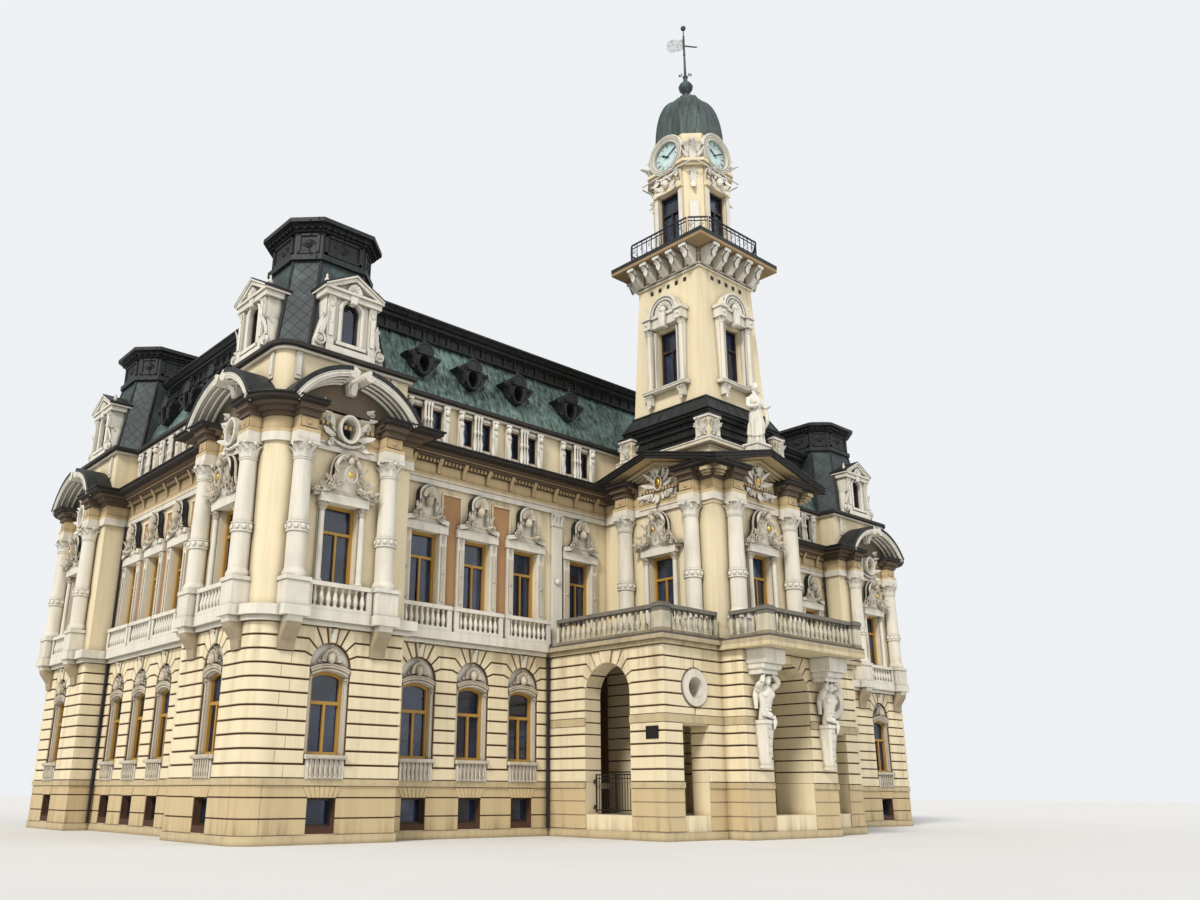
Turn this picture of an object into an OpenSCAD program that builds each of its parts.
/* [Plan] */
// Overall length between the end wall faces
building_l = 35200; // [32000:100:40000]
// Depth between the front and rear pavilion faces
building_d = 19300; // [18000:100:24000]
// Width of a corner pavilion
pavilion_w = 5000; // [4600:50:5600]
// Set-back of the wings behind the pavilion faces
wing_setback = 900; // [600:20:1200]
// Thickness of the outer walls
wall_t = 600; // [450:10:700]
// Radius of the rounded pavilion corners
corner_r = 600; // [400:10:700]
// Spacing of the windows on the front and rear
bay_pitch = 2240; // [2100:10:2300]
// Distance from a pavilion to the first window of the front wing
bay_end = 1290; // [1150:10:1400]
// Spacing of the windows on the sides
side_pitch = 2250; // [2050:10:2300]
// Half width of the tower pavilion
tower_pav_half = 2550; // [2450:10:2650]
// Projection of the tower pavilion in front of the corner pavilions
tower_pav_out = 4650; // [4500:10:4800]

/* [Levels] */
// Top of the plinth zone
plinth_top = 1600; // [1500:10:1700]
// Height of the string course over the plinth
string_h = 180; // [120:10:240]
// Underside of the sill cornice
storey_top = 6150; // [6100:10:6300]
// Height of the sill cornice
sill_h = 450; // [350:10:500]
// Underside of the main entablature
entab_z = 11650; // [11600:10:11800]
// Top of the main walls
wall_top = 12950; // [12900:10:13100]
// Top of the attic storey
attic_top = 15000; // [14900:10:15200]
// Top of the steep roof slope of the wings
mansard_top = 17700; // [17500:20:18000]
// Height of the dark cornice over the steep slope
ridge_band_h = 900; // [700:20:1000]
// Level of the porch floor
porch_floor_z = 750; // [600:10:900]

/* [Windows] */
// Width of the arched recess of a ground floor window
recess_w = 1360; // [1200:10:1440]
// Sill level of the ground floor windows
ground_sill = 2450; // [2300:10:2600]
// Level where the ground floor arches spring
ground_spring = 5000; // [4900:10:5050]
// Width of the upper window openings
upper_w = 1150; // [1000:10:1200]
// Sill level of the upper windows
upper_sill = 7450; // [7350:10:7550]
// Head of the upper windows
upper_head = 9950; // [9800:10:10000]
// Width of a basement window
basement_w = 900; // [700:10:1000]
// Width of an attic window
attic_w = 520; // [400:10:600]

/* [Cornices] */
// Projection of the string course
string_out = 70; // [40:5:100]
// Projection of the sill cornice
sill_out = 340; // [280:10:360]
// Projection of the main cornice
cornice_out = 850; // [700:10:900]
// Projection of the attic cornice
attic_out = 250; // [180:10:300]
// Set-back of the attic walls
attic_back = 150; // [100:10:250]
// Thickness of the attic walls
attic_t = 400; // [300:10:450]

/* [Columns] */
// Radius of a large column at its foot
column_r = 300; // [260:5:320]
// Distance from a pavilion corner to its outer column
column_in = 950; // [900:10:1050]
// Width of a column pedestal
pedestal_w = 760; // [700:10:780]
// Projection of a pedestal
pedestal_out = 560; // [500:10:600]

/* [Porch] */
// Half width of the porch
porch_half = 5550; // [5450:10:5650]
// Wall thickness of the porch
porch_t = 700; // [600:10:800]
// Projection of the central entrance in front of the porch
entrance_out = 900; // [800:10:1000]
// Width of the side arches
side_arch_w = 2140; // [1900:20:2200]
// Crown of the side arches
side_arch_top = 5700; // [5500:20:5800]
// Width of the entrance arch
entrance_w = 2300; // [2100:20:2400]
// Crown of the entrance arch
entrance_top = 5850; // [5600:20:5900]
// Width of the narrow front doorways
doorway_w = 1250; // [1000:10:1300]
// Head of the narrow front doorways
doorway_top = 3600; // [3300:20:3700]
// Radius of the round openings over the doorways
oculus_r = 480; // [380:10:520]
// Height of the round openings' centres
oculus_z = 4800; // [4700:10:4900]
// Height of the porch's upper string course
impost_z = 3650; // [3610:10:3800]
// Depth of the porch's upper string course
impost_h = 250; // [150:10:300]
// Projection of the balcony in front of the entrance
balcony_out = 1400; // [1200:20:1600]
// Thickness of the terrace and balcony slabs
terrace_t = 350; // [300:10:400]
// Height of the stone balustrades
balustrade_h = 950; // [850:10:1050]

/* [Tower] */
// Half width of the tower base block
base_half = 2200; // [2100:10:2250]
// Top of the tower base block
base_top = 14150; // [14050:10:14300]
// Top of the stepped metal skirt
skirt_top = 16040; // [15950:10:16150]
// Half width of the shaft at its foot
shaft_low = 1880; // [1800:10:1920]
// Half width of the shaft at its top
shaft_high = 1630; // [1600:5:1700]
// Top of the shaft
shaft_top = 22650; // [22500:10:22800]
// Thickness of the gallery slab
gallery_t = 300; // [250:10:350]
// Half width of the gallery slab
gallery_half = 2490; // [2400:10:2600]
// Height of the gallery railing
railing_h = 950; // [850:10:1050]
// Half width of the belfry
belfry_half = 1400; // [1380:10:1460]
// Cut of the belfry corners
belfry_cut = 580; // [520:10:620]
// Foot of the clock storey
clock_z = 27000; // [26900:10:27100]
// Foot of the dome
dome_z = 28650; // [28600:10:28800]
// Radius of the dome at its foot
dome_r = 1400; // [1300:10:1450]
// Height of the dome
dome_h = 2700; // [2500:20:2900]
// Radius of a clock dial
dial_r = 670; // [620:10:690]
// Height of the dial centres over the foot of the clock storey
dial_up = 850; // [820:5:880]

/* [Moving parts] */
// Radius of the minute hand arbor
arbor_r = 13; // [10:1:16]
// Radius of the hour hand pipe
pipe_r = 30; // [26:1:34]
// Radial clearance of arbors, pins and sleeves
running = 0.5; // [0.3:0.1:0.8]
// Radius of the weathervane rod
rod_r = 24; // [20:1:30]
// Height of a gate leaf
gate_h = 1300; // [1200:20:1500]
// Clearance round a gate leaf
gate_clear = 12; // [8:1:20]
// Radius of a gate hinge pin
pin_r = 14; // [10:1:18]

/* [Hidden] */

seat = 0.3;
half_l = building_l / 2;
wing_y = wing_setback;
wing_x = half_l - wing_setback;
rear_y = building_d - wing_setback;
front_y = -tower_pav_out;
entrance_y = front_y - entrance_out;
balcony_y = entrance_y - balcony_out;
tower_y = front_y + tower_pav_half;
sill_top = storey_top + sill_h;
string_top = plinth_top + string_h;
// The frame's origin lies under the middle of the whole plan
balcony_edge = balcony_y;
rear_edge = building_d + cornice_out;
mid_y = (balcony_edge + rear_edge) / 2;

cream = [0.93, 0.87, 0.70];
white_stone = [0.95, 0.93, 0.86];
tan_stone = [0.80, 0.72, 0.55];
dark_metal = [0.10, 0.10, 0.11];
patina = [0.28, 0.38, 0.35];
slate = [0.24, 0.27, 0.29];
iron = [0.08, 0.09, 0.14];
timber = [0.72, 0.56, 0.24];
pane_blue = [0.12, 0.18, 0.30];
floor_grey = [0.62, 0.60, 0.56];
dial_white = [0.86, 0.90, 0.88];
gilt = [0.85, 0.66, 0.25];

// Least plain wall left beside a row of bays
bay_room = 200;

// Bays are stated as [x, y, angle]: the wall face at that point looks along local -Y
front_count = floor((half_l - pavilion_w - porch_half - bay_room) / bay_pitch);
front_x = [for (i = [0:front_count - 1]) half_l - pavilion_w - bay_end - i * bay_pitch];
terrace_x = (porch_half + tower_pav_half) / 2;
rear_count = floor((building_l - 2 * pavilion_w - bay_room) / bay_pitch);
front_left_bays = [for (x = front_x) [-x, wing_y, 0]];
front_right_bays = [for (x = front_x) [x, wing_y, 0]];
terrace_bays = [[-terrace_x, wing_y, 0], [terrace_x, wing_y, 0]];
side_count = floor((building_d - 2 * pavilion_w - bay_room) / side_pitch);
side_ys = [for (i = [0:side_count - 1]) building_d / 2 + (i - (side_count - 1) / 2) * side_pitch];
left_bays = [for (y = side_ys) [-wing_x, y, -90]];
right_bays = [for (y = side_ys) [wing_x, y, 90]];
rear_bays = [for (i = [0:rear_count - 1]) [(i - (rear_count - 1) / 2) * bay_pitch, rear_y, 180]];
pav_mid = half_l - pavilion_w / 2;
pav_front_bays = [for (s = [-1, 1]) each [[s * pav_mid, 0, 0], [s * half_l, pavilion_w / 2, s * 90]]];
pav_rear_bays = [for (s = [-1, 1]) each [[s * pav_mid, building_d, 180],
  [s * half_l, building_d - pavilion_w / 2, s * 90]]];
pav_bays = concat(pav_front_bays, pav_rear_bays);
tower_bays = [[0, front_y, 0], [-tower_pav_half, tower_y, -90], [tower_pav_half, tower_y, 90]];
wing_bays = concat(front_left_bays, front_right_bays, left_bays, right_bays, rear_bays);
wing_upper_bays = concat(wing_bays, terrace_bays);
column_off = pavilion_w / 2 - column_in;
tower_column_off = tower_pav_half - 880;
terrace_top = storey_top + terrace_t;
terrace_lip = 300;
gutter_z = wall_top + 50;
frieze_z = entab_z + 800;

module placed() translate([0, -mid_y, 0]) children();
module at(bays) for (b = bays) translate([b[0], b[1], 0]) rotate([0, 0, b[2]]) children();
module both_sides() { children(); mirror([1, 0, 0]) children(); }
module rect(x0, y0, x1, y1) translate([x0, y0]) square([x1 - x0, y1 - y0]);
module block(x0, y0, z0, x1, y1, z1) translate([x0, y0, z0]) cube([x1 - x0, y1 - y0, z1 - z0]);
// Draws an X-Z outline and carries it along Y from y0 to y1
module along_y(y0, y1) translate([0, y1, 0]) rotate([90, 0, 0]) linear_extrude(y1 - y0) children();
// Draws a Y-Z outline and carries it along X from x0 to x1
module along_x(x0, x1) translate([x0, 0, 0]) rotate([90, 0, 90]) linear_extrude(x1 - x0) children();
module arch_2d(w, z0, spring) { rect(-w / 2, z0, w / 2, spring); translate([0, spring])
  circle(r = w / 2, $fn = 48); }
module corners() for (sx = [0, 1], sy = [0, 1])
  translate([sx == 1 ? half_l : -half_l, sy == 1 ? building_d : 0, 0])
  mirror([sx, 0, 0]) mirror([0, sy, 0]) children();

// Plan outlines, grown by "out" on every side
module pavilion_2d(out) {
  rect(corner_r, -out, pavilion_w + out, pavilion_w + out);
  rect(-out, corner_r, pavilion_w + out, pavilion_w + out);
  if (corner_r + out > 1) translate([corner_r, corner_r]) circle(r = corner_r + out, $fn = 64);
}
module plan_main(out) {
  rect(-wing_x - out, wing_y - out, wing_x + out, rear_y + out);
  for (sx = [0, 1], sy = [0, 1])
    translate([sx == 1 ? half_l : -half_l, sy == 1 ? building_d : 0])
    mirror([sx, 0]) mirror([0, sy]) pavilion_2d(out);
}
module tower_pav_2d(out) rect(-tower_pav_half - out, front_y - out, tower_pav_half + out, wing_y + wall_t);
module plan_upper(out) { plan_main(out); tower_pav_2d(out); }
// Fine joints that part a ring into straight lengths
module joint_line(x, y, turn) translate([x, y]) rotate(turn) rect(-1000, -seat, 3000, seat);
module band_joints() {
  for (sx = [0, 1], sy = [0, 1])
    translate([sx == 1 ? half_l : -half_l, sy == 1 ? building_d : 0])
    mirror([sx, 0]) mirror([0, sy]) {
      joint_line(0, 0, 225);
      joint_line(pavilion_w, 0, -45);
      joint_line(pavilion_w, wing_setback, -45);
      joint_line(0, pavilion_w, 135);
      joint_line(wing_setback, pavilion_w, 135);
    }
  for (y = [wing_y, front_y]) {
    joint_line(tower_pav_half, y, -45);
    joint_line(-tower_pav_half, y, 225);
  }
}
module band(z0, z1, out, inner) translate([0, 0, z0]) linear_extrude(z1 - z0)
  difference() { plan_upper(out); plan_upper(inner); band_joints(); }

// Openings in the walls, seen in a bay's own frame
module ground_hole() along_y(-10, wall_t + 10) arch_2d(recess_w, ground_sill - 120, ground_spring);
module basement_hole() block(-basement_w / 2, -10, 480, basement_w / 2, wall_t + 10, 1250);
module upper_hole() block(-upper_w / 2, -10, upper_sill, upper_w / 2, wall_t + 10, upper_head);
module attic_pair() for (s = [-1, 1])
  block(s * 430 - attic_w / 2, attic_back - 10, 13500, s * 430 + attic_w / 2,
    attic_back + attic_t + 10, 14550);
ellipse_a = 280;
ellipse_b = 360;
pav_oculus_z = 12440;
function ellipse(a, b, n = 16) = [for (i = [0:n - 1]) [a * cos(360 * i / n), b * sin(360 * i / n)]];
module oval_2d(a, b, z) translate([0, z]) polygon(ellipse(a, b));
module pavilion_oculus_hole() along_y(-10, wall_t + 10) oval_2d(ellipse_a, ellipse_b, pav_oculus_z);

module wall_part(x0, y0, x1, y1) linear_extrude(wall_top)
  intersection() {
    difference() { plan_main(0); plan_main(-wall_t); }
    rect(x0, y0, x1, y1);
  }

module front_left_wing_wall() color(cream) placed() difference() {
  wall_part(-half_l + pavilion_w, 0, -tower_pav_half, wing_y + wall_t);
  at(front_left_bays) { ground_hole(); basement_hole(); upper_hole(); }
  at([terrace_bays[0]]) upper_hole();
}
module front_right_wing_wall() color(cream) placed() difference() {
  wall_part(tower_pav_half, 0, half_l - pavilion_w, wing_y + wall_t);
  at(front_right_bays) { ground_hole(); basement_hole(); upper_hole(); }
  at([terrace_bays[1]]) upper_hole();
}
module left_wing_wall() color(cream) placed() difference() {
  wall_part(-half_l, pavilion_w, -half_l + 2000, building_d - pavilion_w);
  at(left_bays) { ground_hole(); basement_hole(); upper_hole(); }
}
module right_wing_wall() color(cream) placed() difference() {
  wall_part(half_l - 2000, pavilion_w, half_l, building_d - pavilion_w);
  at(right_bays) { ground_hole(); basement_hole(); upper_hole(); }
}
module rear_wing_wall() color(cream) placed() difference() {
  wall_part(-half_l + pavilion_w, building_d - 2000, half_l - pavilion_w, building_d);
  at(rear_bays) { ground_hole(); basement_hole(); upper_hole(); }
}
module pavilion_wall_set(y0, y1, bays) difference() {
  for (s = [-1, 1]) wall_part(s > 0 ? half_l - pavilion_w : -half_l, y0,
    s > 0 ? half_l : -half_l + pavilion_w, y1);
  at(bays) { ground_hole(); basement_hole(); upper_hole(); pavilion_oculus_hole(); }
  translate([0, 0, -1]) linear_extrude(wall_top + 2) for (sx = [0, 1], sy = [0, 1])
    translate([sx == 1 ? half_l : -half_l, sy == 1 ? building_d : 0]) mirror([sx, 0]) mirror([0, sy]) {
      joint_line(0, 0, 225);
      joint_line(pavilion_w, 0, -45);
      joint_line(0, pavilion_w, 135);
    }
}
module front_pavilion_walls() color(cream) placed() pavilion_wall_set(0, pavilion_w, pav_front_bays);
module rear_pavilion_walls() color(cream) placed()
  pavilion_wall_set(building_d - pavilion_w, building_d, pav_rear_bays);
module tower_pavilion_walls() color(cream) placed() difference() {
  translate([0, 0, terrace_top]) linear_extrude(wall_top - terrace_top) difference() {
    rect(-tower_pav_half, front_y, tower_pav_half, wing_y + wall_t);
    rect(-tower_pav_half + wall_t, front_y + wall_t, tower_pav_half - wall_t, wing_y + wall_t + 10);
  }
  at(tower_bays) upper_hole();
  translate([0, 0, storey_top]) linear_extrude(wall_top) for (s = [-1, 1])
    joint_line(s * tower_pav_half, front_y, s > 0 ? -45 : 225);
}

module porch_2d(out) {
  rect(-porch_half - out, front_y - out, porch_half + out, wing_y);
  rect(-tower_pav_half - out, entrance_y - out, tower_pav_half + out, front_y);
}
module side_arch_hole() translate([0, tower_y, 0]) along_x(-porch_half - 10, porch_half + 10)
  arch_2d(side_arch_w, porch_floor_z, side_arch_top - side_arch_w / 2);
module entrance_hole() along_y(entrance_y - 10, front_y + porch_t + 10)
  arch_2d(entrance_w, porch_floor_z, entrance_top - entrance_w / 2);
module doorway_holes() for (s = [-1, 1]) translate([s * terrace_x, 0, 0]) along_y(front_y - 10,
  front_y + porch_t + 10) {
  rect(-doorway_w / 2, porch_floor_z, doorway_w / 2, doorway_top);
  translate([0, oculus_z]) circle(r = oculus_r, $fn = 48);
}
module porch_side_walls() color(cream) placed() both_sides() difference() {
  linear_extrude(storey_top) difference() {
    rect(tower_pav_half, front_y, porch_half, wing_y);
    rect(tower_pav_half - 10, front_y + porch_t, porch_half - porch_t, wing_y + 10);
  }
  side_arch_hole();
  doorway_holes();
}
module porch_inner_walls() color(cream) placed() difference() {
  union() {
    for (s = [-1, 1]) block(s > 0 ? tower_pav_half - porch_t : -tower_pav_half, front_y + porch_t, 0,
      s > 0 ? tower_pav_half : -tower_pav_half + porch_t, wing_y, storey_top);
    block(-tower_pav_half, wing_y, 0, tower_pav_half, wing_y + wall_t, storey_top);
  }
  side_arch_hole();
  block(-1150, wing_y - 10, porch_floor_z, 1150, wing_y + wall_t + 10, 4300);
}
module porch_entrance_arch() color(cream) placed() difference() {
  block(-tower_pav_half, entrance_y, 0, tower_pav_half, front_y + porch_t, storey_top);
  entrance_hole();
}
balcony_half = tower_pav_half + 300;
module terrace_2d(out) {
  rect(-porch_half - out, front_y - out, porch_half + out, wing_y);
  rect(-balcony_half, balcony_y, balcony_half, front_y);
  rect(-tower_pav_half, wing_y - 10, tower_pav_half, wing_y + wall_t);
}
module porch_terrace() color(tan_stone) placed() {
  translate([0, 0, storey_top]) linear_extrude(150) terrace_2d(150);
  translate([0, 0, storey_top + 150]) linear_extrude(terrace_t - 150) terrace_2d(terrace_lip);
}

// One turned baluster standing between two levels
module baluster(z0, z1) translate([0, 0, z0]) rotate_extrude($fn = 24)
  polygon([[0, 0], [78, 0], [50, 70], [88, 0.36 * (z1 - z0)], [38, 0.82 * (z1 - z0)], [72, z1 - z0],
    [0, z1 - z0]]);
// A straight length of balustrade along X, centred on y = 0, with solid end piers
module rail_run(length, z0, h, pier, pitch, deep) {
  n = floor((length - 2 * pier) / pitch);
  block(-length / 2, -deep / 2, z0, length / 2, deep / 2, z0 + 120);
  block(-length / 2, -deep / 2 - 20, z0 + h - 130, length / 2, deep / 2 + 20, z0 + h);
  for (s = [-1, 1]) block(s > 0 ? length / 2 - pier : -length / 2, -deep / 2 + 5, z0,
    s > 0 ? length / 2 : -length / 2 + pier, deep / 2 - 5, z0 + h - 60);
  for (i = [0:n - 1]) translate([(i - (n - 1) / 2) * (length - 2 * pier) / n, 0, 0]) baluster(z0 + 119,
    z0 + h - 129);
}
module post(x, y) translate([x, y, terrace_top + seat]) {
  block(-210, -210, 0, 210, 210, balustrade_h + 30);
  block(-240, -240, balustrade_h - 120, 240, 240, balustrade_h);
}
edge_in = 60;
module run_x(x0, x1, y) translate([(x0 + x1) / 2, y, 0])
  rail_run(x1 - x0 - 2 * seat, terrace_top + seat, balustrade_h, 120, 260, 220);
module run_y(y0, y1, x) translate([x, (y0 + y1) / 2, 0]) rotate(90)
  rail_run(y1 - y0 - 2 * seat, terrace_top + seat, balustrade_h, 120, 260, 220);
module terrace_balustrade() color(tan_stone) placed() {
  for (s = [-1, 1]) {
    post(s * (porch_half + edge_in), front_y - edge_in);
    post(s * (balcony_half - 260), balcony_y + 260);
    run_y(front_y - edge_in + 240, wing_y - 600, s * (porch_half + edge_in));
    run_y(balcony_y + 500, front_y - cornice_out / 2 - 145, s * (balcony_half - 260));
    run_x(s > 0 ? balcony_half : -porch_half - edge_in + 240,
      s > 0 ? porch_half + edge_in - 240 : -balcony_half, front_y - edge_in);
  }
  run_x(-balcony_half + 500, balcony_half - 500, balcony_y + 260);
}

// A tapering limb from one point to another
module limb(a, b, r0, r1) {
  v = b - a;
  translate(a) rotate([0, acos(v[2] / norm(v)), atan2(v[1], v[0])])
    cylinder(h = norm(v), r1 = r0, r2 = r1, $fn = 24);
}
module atlas() {
  pier_x = (entrance_w / 2 + tower_pav_half) / 2;
  translate([pier_x, entrance_y, 0]) {
    along_x(-430, 430) polygon([[0, 5300], [-620, 5300], [-620, 5450], [-760, 5500], [-760, 5640],
      [-900, 5700],
      [-900, storey_top - seat], [0, storey_top - seat]]);
    difference() {
      translate([0, -300, 0]) {
        translate([0, 0, 2250]) rotate_extrude($fn = 32) polygon([[0, 0], [130, 0], [150, 120],
          [110, 160], [250, 1500],
          [300, 1900], [240, 2150], [330, 2600], [300, 2750], [0, 2750]]);
        translate([0, -60, 5130]) sphere(r = 175, $fn = 32);
        for (s = [-1, 1]) {
          limb([s * 230, 0, 4820], [s * 400, -150, 4960], 110, 90);
          translate([s * 400, -150, 4960]) sphere(r = 108, $fn = 24);
          limb([s * 400, -150, 4960], [s * 290, -170, 5330], 90, 62);
        }
      }
      block(-1000, 0, 0, 1000, 1000, storey_top);
      block(-1000, -string_out - seat, impost_z - seat, 1000, 10, impost_z + impost_h + seat);
    }
  }
}
module atlantes() color(white_stone) placed() both_sides() atlas();

slab_t = 200;
slab_in = wall_t + seat;
module middle_2d(out) rect(-wing_x + slab_in - out, wing_y + slab_in - out, wing_x - slab_in + out,
  rear_y - slab_in + out);
module floor_slabs() color(floor_grey) placed() {
  for (z = [plinth_top - slab_t, sill_top - 250, wall_top - 300]) translate([0, 0, z])
    linear_extrude(slab_t) {
    middle_2d(0);
    difference() {
      plan_main(-slab_in);
      middle_2d(seat);
    }
  }
  block(-tower_pav_half + slab_in, front_y + slab_in, wall_top - 300,
    tower_pav_half - slab_in, wing_y + wall_t, wall_top - 100);
  block(-tower_pav_half + porch_t + seat, front_y + porch_t + seat, porch_floor_z - 150,
    tower_pav_half - porch_t - seat, wing_y - seat, porch_floor_z);
  both_sides() block(tower_pav_half + seat, front_y + porch_t + seat, porch_floor_z - 150,
    porch_half - porch_t - seat, wing_y - seat, porch_floor_z);
}

module ring(z0, z1, out) translate([0, 0, z0]) linear_extrude(z1 - z0) difference() {
  plan_main(out);
  plan_main(0);
  band_joints();
  rect(-porch_half - seat, -9000, porch_half + seat, wing_y + 10);
}
module porch_ring(z0, z1, out) difference() {
  translate([0, 0, z0]) linear_extrude(z1 - z0) difference() {
    porch_2d(out);
    porch_2d(0);
    for (s = [-1, 1], p = [[porch_half, front_y], [tower_pav_half, front_y], [tower_pav_half, entrance_y]])
      translate([s * p[0], p[1]]) rotate(s > 0 ? -45 : 225) rect(0, -seat, 1500, seat);
    rect(-porch_half - 900, wing_y - string_out - seat, porch_half + 900, wing_y);
  }
  translate([0, tower_y, 0]) block(-porch_half - 900, -side_arch_w / 2, 600, porch_half + 900,
    side_arch_w / 2, 6000);
  block(-entrance_w / 2, -9000, 600, entrance_w / 2, front_y, 6000);
  for (s = [-1, 1]) translate([s * terrace_x, 0, 0]) block(-doorway_w / 2, -9000, 600, doorway_w / 2,
    front_y, doorway_top);
}
module plinth_courses() color(tan_stone) placed() {
  ring(0, 250, string_out - 10);
  ring(plinth_top, string_top, string_out);
  porch_ring(0, 250, string_out - 10);
  porch_ring(plinth_top, string_top, string_out);
  porch_ring(impost_z, impost_z + impost_h, string_out);
}

module pedestal_breaks() at(pav_bays) for (s = [-1, 1])
  block(s * column_off - pedestal_w / 2 - 50, -pedestal_out - 60, storey_top + 150,
    s * column_off + pedestal_w / 2 + 50, 0, sill_top);
module sill_cornice() color(white_stone) placed() {
  difference() {
    union() {
      ring(storey_top, storey_top + 150, 200);
      ring(storey_top + 149, sill_top, sill_out);
    }
    rect3_porch();
  }
  pedestal_breaks();
  at(pav_bays) for (s = [-1, 1]) translate([s * column_off, 0, 0]) along_x(-console_half, console_half)
    polygon([[0, storey_top - console_h], [-string_out - 60, storey_top - console_h],
      [-string_out - 110, storey_top - 520],
      [-pedestal_out + 120, storey_top - 180], [-pedestal_out, storey_top + 151], [0, storey_top + 151]]);
}
console_half = 250;
console_h = 800;
module rect3_porch() block(-porch_half - terrace_lip - seat, -9000, storey_top - 10,
  porch_half + terrace_lip + seat, wing_y + 10, sill_top + 10);

// Steps of the cornice as [height above the frieze, next height, reach from the wall]
cornice_steps = [[0, 150, 140], [150, 300, 300], [300, 400, 540],
  [400, wall_top - frieze_z, cornice_out - 60]];
module column_break(x) {
  block(x - 380, -520, entab_z, x + 380, 0, entab_z + 400);
  block(x - 320, -460, entab_z + 399, x + 320, 0, frieze_z);
  block(x - 360, -540, frieze_z - 1, x + 360, 0, frieze_z + 200);
  block(x - 420, -660, frieze_z + 199, x + 420, 0, frieze_z + 400);
}
module column_breaks() {
  at(pav_bays) for (s = [-1, 1]) column_break(s * column_off);
  at(tower_bays) for (s = [-1, 1]) column_break(s * tower_column_off);
}
module open_zones() {
  at(pav_bays) block(-1050, -2000, frieze_z - 1.1, 1050, 0, wall_top + 200);
  at(tower_bays) block(-1150, -2000, frieze_z - 1.1, 1150, 0, wall_top + 200);
}
module main_entablature() color(white_stone) placed() difference() {
  union() {
    band(entab_z, entab_z + 400, 100, 0);
    band(entab_z + 400, frieze_z, 60, 0);
    column_breaks();
    difference() {
      union() {
        for (step = cornice_steps) band(frieze_z + step[0] - 1, frieze_z + step[1], step[2], 0);
      }
      open_zones();
    }
  }
  at(pav_bays) along_y(-1000, 10) oval_2d(ellipse_a + 130 + seat, ellipse_b + 130 + seat, pav_oculus_z);
}
module main_gutter() color(dark_metal) placed() difference() {
  band(wall_top + seat, gutter_z, cornice_out, seat - attic_back);
  open_zones();
}

module column_round(r, z0, z1) translate([0, 0, z0]) rotate_extrude($fn = 48)
  polygon([[0, 0], [r * 1.22, 0], [r * 1.22, 110], [r * 1.08, 200], [r, 260], [r, 1380], [r * 1.1, 1390],
    [r * 1.1, 1640], [r, 1650], [r * 0.9, z1 - z0 - 560], [r * 1.02, z1 - z0 - 520],
      [r * 0.95, z1 - z0 - 480],
    [r * 1.25, z1 - z0 - 90], [0, z1 - z0 - 90]]);
module column(x, z0) translate([x, 0, 0]) difference() {
  union() {
    block(-pedestal_w / 2, -pedestal_out, z0 + seat, pedestal_w / 2, 0, upper_sill - 120);
    block(-pedestal_w / 2 - 40, -pedestal_out - 40, upper_sill - 121, pedestal_w / 2 + 40, 0, upper_sill);
    translate([0, -240, 0]) column_round(column_r, upper_sill - 1, entab_z - seat);
    block(-380, -560, entab_z - 92, 380, 0, entab_z - seat);
  }
  block(-1000, 0, 0, 1000, 1000, wall_top);
}
module pilaster() {
  block(-240, -120, terrace_top + seat, 240, 0, entab_z - 500);
  block(-280, -160, terrace_top + seat, 280, 0, terrace_top + 350);
  block(-270, -150, entab_z - 501, 270, 0, entab_z - seat);
}
module columns() color(white_stone) placed() {
  for (s = [-1, 1]) translate([s * (porch_half - 290), wing_y, 0]) pilaster();
  at(pav_bays) for (s = [-1, 1]) column(s * column_off, sill_top);
  at(tower_bays) for (s = [-1, 1]) column(s * tower_column_off, terrace_top);
}

module balcony_front(length) translate([0, -225, 0]) rail_run(length, sill_top + seat,
  upper_sill - sill_top - seat, 190, 215, 200);
module window_balustrades() color(white_stone) placed() {
  at(concat(front_left_bays, front_right_bays, left_bays, right_bays)) balcony_front(bay_pitch - 120);
  at(rear_bays) block(-bay_pitch / 2 + 60, -305, sill_top + seat, bay_pitch / 2 - 60, -125, upper_sill);
  at(pav_bays) balcony_front(2 * column_off - pedestal_w - 2 * seat - 80);
}

module seg_2d(w, z0, z1, rise) {
  r = (w * w / 4 + rise * rise) / (2 * rise);
  rect(-w / 2, z0, w / 2, z1 - rise);
  intersection() {
    rect(-w / 2, z1 - rise - 1, w / 2, z1);
    translate([0, z1 - r]) circle(r = r, $fn = 96);
  }
}
ground_w = recess_w - 260;
ground_head = 4850;
module ground_surround() {
  difference() {
    union() {
      along_y(90, 330) arch_2d(recess_w - 2 * seat, ground_sill, ground_spring);
      along_y(20, 91) difference() {
        seg_2d(recess_w - 2 * seat, ground_head - 150, ground_head + 260, 200);
      }
    }
    along_y(0, 400) seg_2d(ground_w, ground_sill + 0.1, ground_head, 130);
  }
  block(-recess_w / 2 + seat, -180, ground_sill - 119, recess_w / 2 - seat, 330, ground_sill + 1);
  block(-recess_w / 2 + 60, -90, string_top + seat, recess_w / 2 - 60, 0, ground_sill - 118);
}
oculus_ring = 130;
module oculus_frame(x) translate([x, front_y, 0]) {
  along_y(-110, 420) difference() {
    translate([0, oculus_z]) circle(r = oculus_r - seat, $fn = 64);
    translate([0, oculus_z]) circle(r = oculus_r - oculus_ring, $fn = 64);
  }
  along_y(-110, -seat) difference() {
    translate([0, oculus_z]) circle(r = oculus_r + oculus_ring, $fn = 64);
    translate([0, oculus_z]) circle(r = oculus_r - 1, $fn = 64);
  }
}
module oculus_frames() color(white_stone) placed() for (s = [-1, 1]) oculus_frame(s * terrace_x);
module ground_window_surrounds() color(white_stone) placed() {
  at(wing_bays) ground_surround();
  at(pav_bays) ground_surround();
}

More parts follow.
